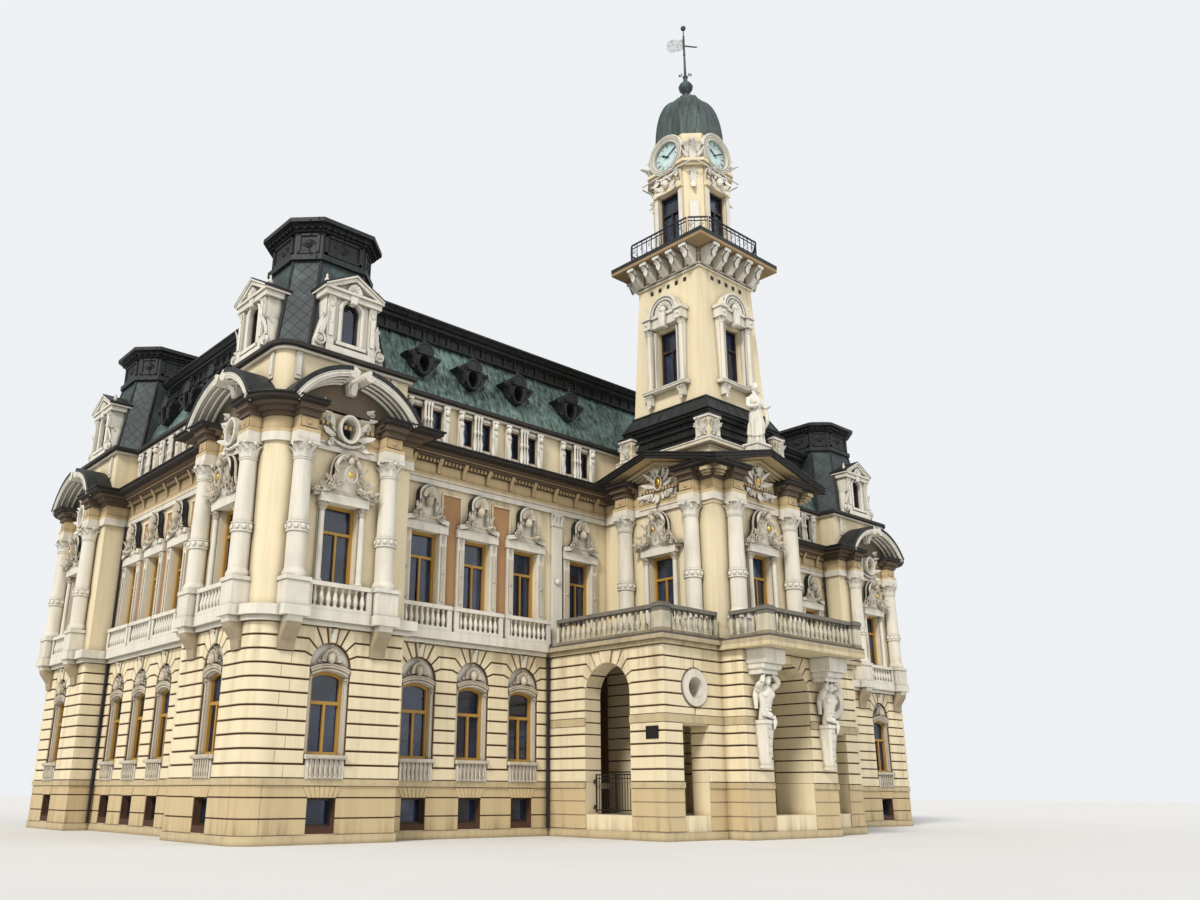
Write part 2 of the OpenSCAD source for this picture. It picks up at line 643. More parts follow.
// A bell outline: a round head on hollow flanks that spread to the full width
foot_h = 160;
module hood_2d(w, z0, z1, head) {
  hollow = w / 2 - head;
  translate([0, z1 - head]) circle(r = head, $fn = 64);
  rect(-w / 2, z0, w / 2, z0 + foot_h);
  difference() {
    rect(-w / 2, z0 + foot_h - 1, w / 2, z0 + foot_h + hollow);
    for (s = [-1, 1]) translate([s * w / 2, z0 + foot_h + hollow]) circle(r = hollow, $fn = 64);
  }
  rect(-head, z0, head, z1 - head);
}
lintel_h = 300;
module upper_lintel(outer, out) block(-outer - 40, -out - 40, upper_head, outer + 40, 0,
  upper_head + lintel_h);
module upper_strips(strip, out) for (s = [-1, 1])
  block(s > 0 ? upper_w / 2 + 10 : -upper_w / 2 - strip, -out,
  upper_sill + seat, s > 0 ? upper_w / 2 + strip : -upper_w / 2 - 10, 0, upper_head + 1);
module upper_hood(outer, out, head) {
  along_y(-out + 20, 0) hood_2d(2 * outer, upper_head + lintel_h - 1, entab_z - 120, head);
  along_y(-out - 120, 0) difference() {
    hood_2d(2 * outer, upper_head + lintel_h - 1, entab_z - 60, head);
    translate([0, -140]) hood_2d(2 * outer - 200, upper_head + lintel_h - 1, entab_z - 60, head - 100);
  }
}
// A small engaged column beside a window
module colonnette(r, z0, z1) translate([0, 0, z0]) rotate_extrude($fn = 32)
  polygon([[0, 0], [1.4 * r, 0], [1.4 * r, 70], [r, 130], [0.88 * r, z1 - z0 - 260],
    [1.35 * r, z1 - z0 - 60],
    [1.35 * r, z1 - z0], [0, z1 - z0]]);
module upper_surround(strip, out, head) {
  upper_strips(strip, out);
  upper_lintel(upper_w / 2 + strip, out);
  upper_hood(upper_w / 2 + strip, out, head);
}
colonnette_r = 95;
module crested_surround(strip, out, head) {
  upper_strips(strip, 60);
  difference() {
    for (s = [-1, 1]) translate([s * (upper_w / 2 + strip / 2 + 10), -110, 0])
      colonnette(colonnette_r, upper_sill + seat, upper_head + 1);
    block(-2000, 0, 0, 2000, 1000, wall_top);
    block(-upper_w / 2 - 0.1, -1000, 0, upper_w / 2 + 0.1, 1000, wall_top);
  }
  upper_lintel(upper_w / 2 + strip, out);
  upper_hood(upper_w / 2 + strip, out, head);
}
hooded_bays = concat(front_left_bays, front_right_bays, left_bays, right_bays, terrace_bays);
module upper_window_surrounds() color(white_stone) placed() {
  at(hooded_bays) upper_surround(300, 120, 400);
  at(rear_bays) {
    upper_strips(300, 60);
    upper_lintel(upper_w / 2 + 300, 120);
  }
  at(pav_bays) crested_surround(250, 220, 480);
  at(tower_bays) crested_surround(250, 220, 480);
}

// A framed sash: outline children(0) minus children(1), with a mullion and a transom
frame_t = 90;
module frame_rect(w, z0, z1, border, transom, depth) {
  along_y(depth, depth + frame_t) difference() {
    rect(-w / 2, z0, w / 2, z1);
    rect(-w / 2 + border, z0 + border, w / 2 - border, z1 - border);
  }
  along_y(depth + 10, depth + frame_t - 10) {
    rect(-35, z0 + border - 1, 35, transom + 1);
    rect(-w / 2 + border - 1, transom, w / 2 - border + 1, transom + 90);
  }
}
module frame_plain(w, z0, z1, border, depth) along_y(depth, depth + frame_t) difference() {
  rect(-w / 2, z0, w / 2, z1);
  rect(-w / 2 + border, z0 + border, w / 2 - border, z1 - border);
}
module pane_rect(w, z0, z1, depth) block(-w / 2, depth, z0, w / 2, depth + 12, z1);
frame_in = 180;
pane_in = frame_in + frame_t + seat;
ground_frame_w = ground_w - 2 * seat;
module ground_frame() {
  z0 = ground_sill + 1 + seat;
  z1 = ground_head - seat;
  transom = z0 + 0.6 * (z1 - z0);
  along_y(frame_in, frame_in + frame_t) difference() {
    seg_2d(ground_frame_w, z0, z1, 130);
    seg_2d(ground_frame_w - 180, z0 + 90, z1 - 90, 110);
  }
  along_y(frame_in + 10, frame_in + frame_t - 10) {
    rect(-40, z0 + 89, 40, transom + 1);
    rect(-ground_frame_w / 2 + 89, transom, ground_frame_w / 2 - 89, transom + 100);
  }
}
tower_bays_shaft = [for (i = [0:3]) [0, tower_y, 90 * i]];
belfry_w = 1080;
belfry_sill = 23250;
belfry_head = 26000;
shaft_win_w = 1100;
shaft_sill = skirt_top + 910;
shaft_head = shaft_sill + 2550;
shaft_face = shaft_low - 120;
dormer_w = 640;
dormer_sill = 15500;
dormer_spring = 16700;
dormer_front = 150;
module attic_sash(x) translate([x, attic_back, 0]) frame_plain(attic_w - 2 * seat, 13500 + seat,
  14550 - seat, 60, 60);
module window_frames() color(timber) placed() {
  at(wing_bays) {
    ground_frame();
    frame_plain(basement_w - 2 * seat, 480 + seat, 1250 - seat, 60, 200);
    frame_rect(upper_w - 2 * seat, upper_sill + seat, upper_head - seat, 90, 9050, frame_in);
    for (s = [-1, 1]) attic_sash(s * 430);
  }
  at(terrace_bays) {
    frame_rect(upper_w - 2 * seat, upper_sill + seat, upper_head - seat, 90, 9050, frame_in);
    for (s = [-1, 1]) attic_sash(s * 430);
  }
  at(pav_bays) {
    ground_frame();
    frame_plain(basement_w - 2 * seat, 480 + seat, 1250 - seat, 60, 200);
    frame_rect(upper_w - 2 * seat, upper_sill + seat, upper_head - seat, 90, 9050, frame_in);
    along_y(dormer_front + 120, dormer_front + 120 + frame_t) difference() {
      arch_2d(dormer_w - 2 * seat, dormer_sill + 0.5, dormer_spring);
      arch_2d(dormer_w - 140, dormer_sill + 70, dormer_spring);
    }
  }
  at(tower_bays) frame_rect(upper_w - 2 * seat, upper_sill + seat, upper_head - seat, 90, 9050, frame_in);
  at(tower_bays_shaft) {
    frame_rect(shaft_win_w - 2 * seat, shaft_sill + seat, shaft_head - seat, 80, shaft_sill + 1650,
      -shaft_face + 180);
    frame_rect(belfry_w - 2 * seat, belfry_sill + seat, belfry_head - seat, 80, 25100, -belfry_half + 120);
  }
}
module window_panes() color(pane_blue) placed() {
  at(wing_bays) {
    along_y(pane_in, pane_in + 12) seg_2d(ground_frame_w, ground_sill + 2, ground_head - 1, 130);
    pane_rect(basement_w - 2, 482, 1248, 200 + frame_t + seat);
    pane_rect(upper_w - 2, upper_sill + 1, upper_head - 1, pane_in);
    for (s = [-1, 1]) translate([s * 430, attic_back, 0]) pane_rect(attic_w - 2, 13502, 14548,
      60 + frame_t + seat);
  }
  at(terrace_bays) {
    pane_rect(upper_w - 2, upper_sill + 1, upper_head - 1, pane_in);
    for (s = [-1, 1]) translate([s * 430, attic_back, 0]) pane_rect(attic_w - 2, 13502, 14548,
      60 + frame_t + seat);
  }
  at(pav_bays) {
    along_y(pane_in, pane_in + 12) seg_2d(ground_frame_w, ground_sill + 2, ground_head - 1, 130);
    pane_rect(basement_w - 2, 482, 1248, 200 + frame_t + seat);
    pane_rect(upper_w - 2, upper_sill + 1, upper_head - 1, pane_in);
    along_y(200, 212) oval_2d(ellipse_a - 1, ellipse_b - 1, pav_oculus_z);
    along_y(dormer_front + 120 + frame_t + seat, dormer_front + 132 + frame_t + seat)
      arch_2d(dormer_w - 2, dormer_sill + 1, dormer_spring);
  }
  at(tower_bays) pane_rect(upper_w - 2, upper_sill + 1, upper_head - 1, pane_in);
  at(tower_bays_shaft) {
    pane_rect(shaft_win_w - 2, shaft_sill + 1, shaft_head - 1, -shaft_face + 180 + frame_t + seat);
    pane_rect(belfry_w - 2, belfry_sill + 1, belfry_head - 1, -belfry_half + 120 + frame_t + seat);
  }
}

// Broken curved pediment over a pavilion face, with its pair of volutes and the oval frame below
ped_half = pavilion_w / 2 - 140;
ped_top = 14350;
ped_rise = ped_top - 12980;
ped_r = (ped_half * ped_half + ped_rise * ped_rise) / (2 * ped_rise);
module ped_arc_2d(r) intersection() {
  translate([0, ped_top - ped_r]) circle(r = r, $fn = 192);
  rect(-ped_half - 100, gutter_z + seat, ped_half + 100, ped_top + 100);
}
module pediment() {
  along_y(-cornice_out + 30, attic_back - seat) difference() {
    ped_arc_2d(ped_r);
    ped_arc_2d(ped_r - 280);
    rect(-230, gutter_z, 230, ped_top + 100);
  }
  for (s = [-1, 1]) translate([s * 300, 0, ped_top - 190]) rotate([90, 0, 0]) translate([0, 0,
    -attic_back + seat])
    cylinder(h = cornice_out + attic_back - 20, r = 190, $fn = 32);
  along_y(0, attic_back - seat) ped_arc_2d(ped_r - 279);
  along_y(-260, 0) difference() {
    oval_2d(ellipse_a + 130, ellipse_b + 130, pav_oculus_z);
    oval_2d(ellipse_a, ellipse_b, pav_oculus_z);
  }
}
module pediments() color(white_stone) placed() at(pav_bays) pediment();

gable_top = 13900;
gable_half = tower_pav_half + cornice_out;
gable_wall = tower_pav_half - base_half - seat;
module gable_2d(drop) {
  slope = (gable_top - gutter_z) / gable_half;
  polygon([[-gable_half + drop / slope, gutter_z + seat], [0, gable_top - drop],
    [gable_half - drop / slope, gutter_z + seat]]);
}
module tower_gables() color(dark_metal) placed() {
  difference() {
    at(tower_bays) {
      along_y(-cornice_out, gable_wall) difference() {
        gable_2d(0);
        gable_2d(260);
      }
      along_y(0, gable_wall) gable_2d(259);
    }
    block(-9000, wing_y + 20, wall_top, 9000, wing_y + 9000, gable_top + 200);
    block(-base_half - seat, tower_y - base_half - seat, wall_top, base_half + seat, wing_y + 9000,
      gable_top + 200);
    translate([0, tower_y, 0]) cut_block(base_half + base_lip + seat, 0.01, base_top - 201 - seat,
      base_top + 10);
  }
}

module attic_walls() color(cream) placed() difference() {
  translate([0, 0, wall_top + seat]) linear_extrude(attic_top - 250 - wall_top - seat) difference() {
    plan_main(-attic_back);
    plan_main(-attic_back - attic_t);
    band_joints();
  }
  at(wing_upper_bays) attic_pair();
}
module attic_pilasters() color(white_stone) placed() {
  at(wing_upper_bays) translate([0, attic_back, 0]) {
    for (s = [-1, 1]) block(s * 800 - 85, -120, gutter_z + seat, s * 800 + 85, 0, attic_top - 250 - seat);
    block(-55, -90, gutter_z + seat, 55, 0, attic_top - 250 - seat);
  }
  at(pav_bays) for (s = [-1, 1]) translate([s * (pavilion_w / 2 - corner_r - 130), attic_back, 0])
    block(-110, -50, strip_low, 110, 0, attic_top - 250 - seat);
}
strip_low = 13820;
module attic_cornice() color(white_stone) placed() {
  translate([0, 0, attic_top - 250]) linear_extrude(120) difference() {
    plan_main(attic_out - attic_back - 120);
    plan_main(-attic_back - attic_t);
    band_joints();
  }
  translate([0, 0, attic_top - 130]) linear_extrude(130) difference() {
    plan_main(attic_out - attic_back);
    plan_main(-attic_back - attic_t);
    band_joints();
  }
}

// A square tapering block with cut corners, made of flat faces only
module taper(half0, half1, cut0, cut1, z0, z1) {
  d0 = (2 * half0 - cut0) / sqrt(2);
  d1 = (2 * half1 - cut1) / sqrt(2);
  intersection() {
    along_y(-4000, 4000) polygon([[-half0, z0], [half0, z0], [half1, z1], [-half1, z1]]);
    along_x(-4000, 4000) polygon([[-half0, z0], [half0, z0], [half1, z1], [-half1, z1]]);
    if (cut0 > 0) rotate(45) along_y(-5000, 5000) polygon([[-d0, z0], [d0, z0], [d1, z1], [-d1, z1]]);
    if (cut0 > 0) rotate(45) along_x(-5000, 5000) polygon([[-d0, z0], [d0, z0], [d1, z1], [-d1, z1]]);
  }
}
module cut_square_2d(half, cut) polygon([[-half, -half + cut], [-half + cut, -half], [half - cut, -half],
  [half, -half + cut], [half, half - cut], [half - cut, half], [-half + cut, half], [-half, half - cut]]);
module cut_block(half, cut, z0, z1) translate([0, 0, z0]) linear_extrude(z1 - z0) cut_square_2d(half, cut);
pav_roof_low = pavilion_w / 2 - 350;
pav_roof_high = pavilion_w / 2 - 1000;
roof_cut_low = 760;
roof_cut_high = 680;
roof_shell = 200;
pav_roof_top = 18700;
module at_pavilions() corners() translate([pavilion_w / 2, pavilion_w / 2, 0]) children();
module pav_roof_solid(grow) taper(pav_roof_low + grow, pav_roof_high + grow,
  roof_cut_low, roof_cut_high, attic_top + seat, pav_roof_top);
module pavilion_roofs() color(dark_metal) placed() at_pavilions() difference() {
  pav_roof_solid(0);
  translate([0, 0, -0.1]) taper(pav_roof_low - roof_shell, pav_roof_high - roof_shell, roof_cut_low - 80,
    roof_cut_high - 80, attic_top + seat, pav_roof_top - 150);
}
mansard_in = 300;
ridge_in = 2300 - wing_setback;
module slope_2d() polygon([[mansard_in, attic_top + seat], [ridge_in, mansard_top],
  [ridge_in + 220, mansard_top],
  [mansard_in + 220, attic_top + seat]]);
module on_wings() {
  translate([0, wing_y, 0]) children(0);
  translate([0, rear_y, 0]) rotate(180) children(0);
  for (s = [-1, 1]) translate([s * wing_x, building_d / 2, 0]) rotate(s * 90) children(1);
}
module slope_run(length) along_x(-length / 2, length / 2) slope_2d();
module wing_mansard() color(patina) placed() difference() {
  on_wings() {
    slope_run(building_l - pavilion_w);
    slope_run(building_d - pavilion_w);
  }
  at_pavilions() pav_roof_solid(seat);
}
module ridge_2d() polygon([[ridge_in - 60, mansard_top + seat], [ridge_in + 300, mansard_top + seat],
  [ridge_in + 300, mansard_top + ridge_band_h], [ridge_in - 420, mansard_top + ridge_band_h],
  [ridge_in - 420, mansard_top + ridge_band_h - 120], [ridge_in - 300, mansard_top + ridge_band_h - 240],
  [ridge_in - 220, mansard_top + ridge_band_h - 260], [ridge_in - 220, mansard_top + ridge_band_h - 400],
  [ridge_in - 60, mansard_top + ridge_band_h - 520]]);
module ridge_cornice() color(dark_metal) placed() difference() {
  on_wings() {
    along_x(-(building_l - pavilion_w) / 2, (building_l - pavilion_w) / 2) ridge_2d();
    along_x(-(building_d - pavilion_w) / 2, (building_d - pavilion_w) / 2) ridge_2d();
  }
  at_pavilions() pav_roof_solid(seat);
}
upper_rise = 500;
upper_top = mansard_top + ridge_band_h + upper_rise;
roof_sheet = 120;
module upper_roof_solid(drop) {
  z0 = mansard_top + ridge_band_h + seat;
  x0 = wing_x - ridge_in - drop;
  y0 = building_d / 2 - wing_y - ridge_in - drop;
  run = y0 - 1200;
  translate([0, 0, -drop]) intersection() {
    along_x(-x0, x0) polygon([[-y0, z0], [y0, z0], [y0, z0 + roof_sheet], [y0 - run, upper_top],
      [run - y0, upper_top],
      [-y0, z0 + roof_sheet]]);
    along_y(-building_d, building_d) polygon([[-x0, z0 - 10], [x0, z0 - 10], [x0, z0 + roof_sheet],
      [x0 - run, upper_top], [run - x0, upper_top], [-x0, z0 + roof_sheet]]);
  }
}
module upper_roof() color(dark_metal) placed() {
  translate([0, building_d / 2, 0]) difference() {
    upper_roof_solid(0);
    upper_roof_solid(roof_sheet);
    translate([0, -building_d / 2, 0]) at_pavilions() {
      pav_roof_solid(seat);
      cut_block(pav_roof_high + 120 + seat, roof_cut_high + 60, pav_roof_top - 1, pav_roof_top + 1000);
    }
  }
}
crown_shell = 160;
module pavilion_crowns() color(dark_metal) placed() at_pavilions() {
  half = pav_roof_high;
  difference() {
    union() {
      cut_block(half + 120, roof_cut_high + 60, pav_roof_top + seat, pav_roof_top + 200);
      cut_block(half, roof_cut_high, pav_roof_top + 199, pav_roof_top + 1100);
      cut_block(half + 80, roof_cut_high + 30, pav_roof_top + 1099, pav_roof_top + 1200);
      cut_block(half + 180, roof_cut_high + 80, pav_roof_top + 1199, pav_roof_top + 1330);
      cut_block(half + 340, roof_cut_high + 160, pav_roof_top + 1329, pav_roof_top + 1480);
      taper(half + 340, half - 350, roof_cut_high + 160, roof_cut_high - 280, pav_roof_top + 1479,
        pav_roof_top + 1750);
    }
    cut_block(half - crown_shell, roof_cut_high - 60, pav_roof_top - 10, pav_roof_top + 1350);
  }
}
dormer_half = 950;
dormer_eaves = 17250;
dormer_top = 17980;
module dormer() difference() {
  union() {
    along_y(dormer_front, 1200) {
      rect(-dormer_half, attic_top + seat, dormer_half, dormer_eaves);
      polygon([[-dormer_half, dormer_eaves - 1], [dormer_half, dormer_eaves - 1], [0, dormer_top - 100]]);
    }
    along_y(dormer_front - 90, dormer_front + 1) for (s = [-1, 1])
      rect(s * 780 - 130, attic_top + seat, s * 780 + 130, dormer_eaves - 199);
    along_y(dormer_front - 140, 1200) rect(-dormer_half - 120, dormer_eaves - 200, dormer_half + 120,
      dormer_eaves);
    along_y(dormer_front - 200, 1200) difference() {
      polygon([[-dormer_half - 190, dormer_eaves - 1], [dormer_half + 190, dormer_eaves - 1],
        [dormer_half + 190, dormer_eaves + 110], [0, dormer_top],
          [-dormer_half - 190, dormer_eaves + 110]]);
      polygon([[-dormer_half + 150, dormer_eaves + 90], [dormer_half - 150, dormer_eaves + 90],
        [0, dormer_top - 210]]);
    }
    along_y(dormer_front, 700) polygon([[-1320, attic_top + seat], [1320, attic_top + seat], [1250, 15450],
      [960, 16300], [-960, 16300], [-1250, 15450]]);
  }
  along_y(0, 2000) arch_2d(dormer_w, dormer_sill, dormer_spring);
  translate([0, pavilion_w / 2, 0]) pav_roof_solid(seat);
}
module pavilion_dormers() color(white_stone) placed() at(pav_bays) dormer();
oval_z = 16350;
module oval_dormer() difference() {
  union() {
    along_y(mansard_in + 150, ridge_in) difference() {
      union() {
        oval_2d(340, 460, oval_z);
        polygon([[-400, oval_z - 150], [400, oval_z - 150], [520, oval_z + 150], [740, oval_z + 330],
          [420, oval_z + 400],
          [-420, oval_z + 400], [-740, oval_z + 330], [-520, oval_z + 150]]);
      }
      oval_2d(210, 320, oval_z);
    }
    along_y(mansard_in + 60, ridge_in) difference() {
      translate([0, oval_z + 430]) circle(r = 330, $fn = 40);
      rect(-400, oval_z, 400, oval_z + 330);
    }
  }
  along_x(-1000, 1000) polygon([[mansard_in - 1, attic_top], [ridge_in, mansard_top + 2],
    [ridge_in + 900, mansard_top + 2],
    [ridge_in + 900, attic_top]]);
}
module oval_dormers() color(dark_metal) placed() at(wing_upper_bays) oval_dormer();

// Tower, drawn about its own axis
module on_tower() placed() translate([0, tower_y, 0]) children();
module tower_ring(z0, z1, half, inner) difference() {
  cut_block(half, 0.01, z0, z1);
  block(-inner, -inner, z0 - 1, inner, inner, z1 + 1);
}
base_lip = 250;
corner_h = 990;
module corner_blocks(grow) for (sx = [-1, 1], sy = [-1, 1]) translate([sx * 2000, sy * 2000, 0])
  block(-330 - grow, -330 - grow, base_top, 330 + grow, 330 + grow, base_top + corner_h + grow);
module tower_base() color(cream) on_tower() {
  tower_ring(wall_top + seat, base_top - 200, base_half, base_half - 500);
  tower_ring(base_top - 201, base_top, base_half + base_lip, base_half - 500);
  difference() {
    block(-base_half, base_half - 10, wall_top + seat, base_half,
      -tower_y + wing_y + attic_back - seat, base_top - 200);
    block(-base_half + 500, 0, 0, base_half - 500, 9000, base_top - 400);
  }
  corner_blocks(-seat);
}
module tower_skirt() color(dark_metal) on_tower() difference() {
  union() {
    cut_block(2030, 0.01, base_top + seat, base_top + 1000);
    for (z = [360, 680]) cut_block(2090, 0.01, base_top + z, base_top + z + 80);
    cut_block(2160, 0.01, base_top + 960, base_top + 1110);
    cut_block(2230, 0.01, base_top + 1109, base_top + 1240);
    taper(2280, shaft_low + 40, 0, 0, base_top + 1239, skirt_top);
  }
  block(-1450, -1450, 0, 1450, 1450, 30000);
  corner_blocks(seat);
}
module shaft_solid(grow) taper(shaft_low + grow, shaft_high + grow, 0, 0, skirt_top + seat,
  shaft_top - seat);
module tower_shaft() color(cream) on_tower() difference() {
  union() {
    shaft_solid(0);
    intersection() {
      shaft_solid(60);
      block(-3000, -3000, shaft_top - 870, 3000, 3000, shaft_top - 790);
    }
  }
  block(-1250, -1250, 0, 1250, 1250, 30000);
  for (i = [0:3]) rotate(90 * i) block(-shaft_win_w / 2, -3000, shaft_sill, shaft_win_w / 2, 0, shaft_head);
}
// Aedicule of a shaft window: engaged columns, broken entablature, round hood, sill on consoles
aedicule_x = 850;
hood_z = shaft_head + 680;
module shaft_windows() color(white_stone) on_tower() for (i = [0:3]) rotate(90 * i) difference() {
  union() {
    for (s = [-1, 1]) translate([s * aedicule_x, 0, 0]) {
      block(-120, -1990, shaft_sill - 100, 120, -1600, shaft_head + 150);
      translate([0, -1990, 0]) colonnette(105, shaft_sill - 21, shaft_head + 150);
      block(-190, -2170, shaft_head + 149, 190, -1600, shaft_head + 551);
      block(-240, -2230, shaft_head + 550, 240, -1600, hood_z);
      block(-110, -2120, shaft_sill - 620, 110, -1600, shaft_sill - 99);
    }
    block(-aedicule_x - 300, -2180, shaft_sill - 150, aedicule_x + 300, -1600, shaft_sill - 20);
    block(-aedicule_x - 100, -2040, shaft_head + 149, aedicule_x + 100, -1600, shaft_head + 551);
    block(-aedicule_x - 150, -2110, shaft_head + 550, aedicule_x + 150, -1600, hood_z);
    along_y(-2080, -1600) difference() {
      translate([0, hood_z - 1]) circle(r = aedicule_x - 80, $fn = 48);
      translate([0, hood_z - 1]) circle(r = aedicule_x - 300, $fn = 48);
      rect(-1000, hood_z - 1200, 1000, hood_z - 2);
    }
  }
  shaft_solid(seat);
  block(-shaft_win_w / 2, -3000, shaft_sill - 10, shaft_win_w / 2, 0, shaft_head + 0.1);
}
module corbel() along_x(-140, 140) polygon([[-2420, shaft_top + 1], [-2420, shaft_top - 120],
  [-2250, shaft_top - 260],
  [-2150, shaft_top - 520], [-1900, shaft_top - 740], [-1500, shaft_top - 740], [-1500, shaft_top + 1]]);
module gallery_slab() color(tan_stone) on_tower() {
  cut_block(gallery_half, 0.01, shaft_top, shaft_top + gallery_t);
  difference() {
    for (i = [0:3], k = [-2:2]) rotate(90 * i) translate([k * 720, 0, 0]) corbel();
    shaft_solid(60 + seat);
  }
}
gallery_top = shaft_top + gallery_t;
rail_half = 2180;
rail_cut = 620;
module rail_panel(length) {
  n = round(length / 290);
  block(-length / 2, -20, gallery_top + seat, length / 2, 20, gallery_top + 60);
  block(-length / 2, -20, gallery_top + 0.78 * railing_h, length / 2, 20,
    gallery_top + 0.78 * railing_h + 30);
  block(-length / 2, -30, gallery_top + railing_h - 50, length / 2, 30, gallery_top + railing_h);
  for (i = [0:n]) translate([(i / n - 0.5) * (length - 24), 0, 0])
    block(-12, -12, gallery_top + 59, 12, 12, gallery_top + railing_h - 49);
}
module gallery_railing() color(iron) on_tower() for (i = [0:3]) rotate(90 * i) {
  translate([0, -rail_half, 0]) rail_panel(2 * (rail_half - rail_cut) - 60);
  translate([rail_half - rail_cut / 2, -rail_half + rail_cut / 2, 0]) rotate(45)
    rail_panel(rail_cut * sqrt(2) - 60);
}
module belfry() color(cream) on_tower() difference() {
  union() {
    cut_block(belfry_half, belfry_cut, gallery_top + seat, dome_z);
    cut_block(belfry_half + 60, belfry_cut, gallery_top + seat, gallery_top + 250);
    cut_block(belfry_half + 130, belfry_cut + 30, clock_z, clock_z + 130);
    cut_block(belfry_half + 220, belfry_cut + 60, clock_z + 129, clock_z + 260);
    for (i = [0:3]) rotate(90 * i) {
      for (s = [-1, 1]) block(s * (belfry_w / 2 + 130) - 90, -belfry_half - 80, gallery_top + 249,
        s * (belfry_w / 2 + 130) + 90, 0, clock_z + 1);
      along_y(-belfry_half - 160, 0) seg_2d(belfry_w + 500, belfry_head + 40, belfry_head + 560, 330);
    }
  }
  cut_block(belfry_half - 300, belfry_cut - 160, 0, dome_z - 300);
  for (i = [0:3]) rotate(90 * i) {
    block(-belfry_w / 2, -3000, belfry_sill, belfry_w / 2, 0, belfry_head);
    translate([0, 0, dial_z]) rotate([90, 0, 0])
      cylinder(h = 3000, r = dial_r + dial_ring + seat, $fn = 96);
    rotate(45) block(0, -seat, 0, 3000, seat, dome_z + 10);
  }
  block(-3000, -3000, dome_z - 300 - seat, 3000, 3000, dome_z - 300 + seat);
}
// Width of the stone ring round a dial
dial_ring = 230;
dial_z = clock_z + dial_up;
dial_face = belfry_half + 40;
module clock_surrounds() color(white_stone) on_tower() for (i = [0:3]) rotate(90 * i) difference() {
  union() {
    along_y(-belfry_half - 180, -belfry_half + 250) difference() {
      translate([0, dial_z]) circle(r = dial_r + dial_ring, $fn = 96);
      translate([0, dial_z]) circle(r = dial_r + seat, $fn = 96);
    }
  }
}
module clock_dials() color(dial_white) {
  on_tower() dial_plates();
  plain_dial_hands();
}
module dial_plates() for (i = [0:3]) rotate(90 * i) difference() {
  translate([0, -dial_face + 60, dial_z]) rotate([90, 0, 0]) cylinder(h = 60, r = dial_r, $fn = 96);
  if (i == 0 || i == 3) translate([0, 0, dial_z]) rotate([90, 0, 0]) cylinder(h = 3000,
    r = pipe_r + running, $fn = 32);
}
module plain_dial_hands() { plain_hands(1); plain_hands(2); }
module plain_hands(i) hand_frame(i) {
  rotate([0, -55, 0]) translate([0, 15, 0]) hour_shape();
  rotate([0, 60, 0]) translate([0, 31, 0]) minute_shape();
  along_y(-20, 1) circle(r = 40, $fn = 32);
}
module dome_2d(grow) {
  n = 12;
  w = dome_r + grow;
  h = dome_h + grow;
  side = [for (i = [0:n]) [w * pow(cos(84 * i / n), 0.75), dome_z + seat + h * sin(90 * i / n)]];
  polygon(concat(side, [for (i = [0:n]) [-side[n - i][0], side[n - i][1]]]));
}
module dome_solid(grow) intersection() {
  along_x(-3000, 3000) dome_2d(grow);
  along_y(-3000, 3000) dome_2d(grow);
  rotate(45) along_x(-3000, 3000) dome_2d(grow + 60);
  rotate(45) along_y(-3000, 3000) dome_2d(grow + 60);
}
dome_top = dome_z + dome_h;
vane_z = 34050;
module dome_and_finial() color(patina) on_tower() {
  difference() {
    dome_solid(0);
    translate([0, 0, -0.1]) dome_solid(-150);
    for (i = [0:3]) rotate(90 * i) translate([0, 0, dial_z]) rotate([90, 0, 0])
      cylinder(h = 3000, r = dial_r + dial_ring + 2 * seat, $fn = 96);
  }
  translate([0, 0, dome_top - 120]) rotate_extrude($fn = 48) polygon([[0, 0], [360, 0], [360, 120],
    [300, 160], [300, 260],
    [170, 330], [130, 480], [120, 600], [300, 850], [330, 1000], [250, 1150], [110, 1250], [90, 1450],
      [130, 1550],
    [60, 1650], [45, vane_z - 60 - dome_top + 120], [60, vane_z - 59 - dome_top + 120],
    [60, vane_z - dome_top + 120], [rod_r, vane_z - dome_top + 120],
    [rod_r, 35400 - dome_top + 120], [0, 35400 - dome_top + 120]]);
  translate([0, 0, 35500]) sphere(r = 120, $fn = 32);
}
module weathervane() color(gilt) on_tower() difference() {
  union() {
    translate([0, 0, vane_z + 3]) cylinder(h = 1000, r = rod_r + 22, $fn = 32);
    rotate(135) {
      along_y(-6, 6) polygon([[20, vane_z + 300], [250, vane_z + 180], [620, vane_z + 120],
        [820, vane_z + 350],
        [760, vane_z + 700], [450, vane_z + 860], [200, vane_z + 780], [20, vane_z + 860]]);
      along_y(-10, 10) polygon([[-20, vane_z + 420], [-560, vane_z + 330], [-640, vane_z + 420],
        [-560, vane_z + 400],
        [-20, vane_z + 500]]);
    }
  }
  cylinder(h = 60000, r = rod_r + running, $fn = 32);
}

statue_y = front_y - 190;
statue_z = gable_top + 350;
module statue() color(white_stone) placed() difference() {
  translate([0, statue_y, 0]) {
    block(-400, -330, gable_top - 260, 400, 330, statue_z);
    translate([0, 0, statue_z - 1]) rotate_extrude($fn = 32) polygon([[0, 0], [340, 0], [350, 150],
      [290, 950], [240, 1450], [300, 1850], [280, 2080], [95, 2190], [85, 2260], [0, 2260]]);
    translate([0, 0, statue_z + 2380]) sphere(r = 160, $fn = 32);
    translate([0, -60, statue_z + 1750]) rotate([80, 0, 30]) cylinder(h = 540, r = 75, $fn = 24);
  }
  at([tower_bays[0]]) along_y(-cornice_out - 100, 1000) gable_2d(-seat);
  translate([0, tower_y, 0]) block(-3000, -base_half - base_lip - seat, base_top - 210, 3000, 3000,
    base_top + seat);
}

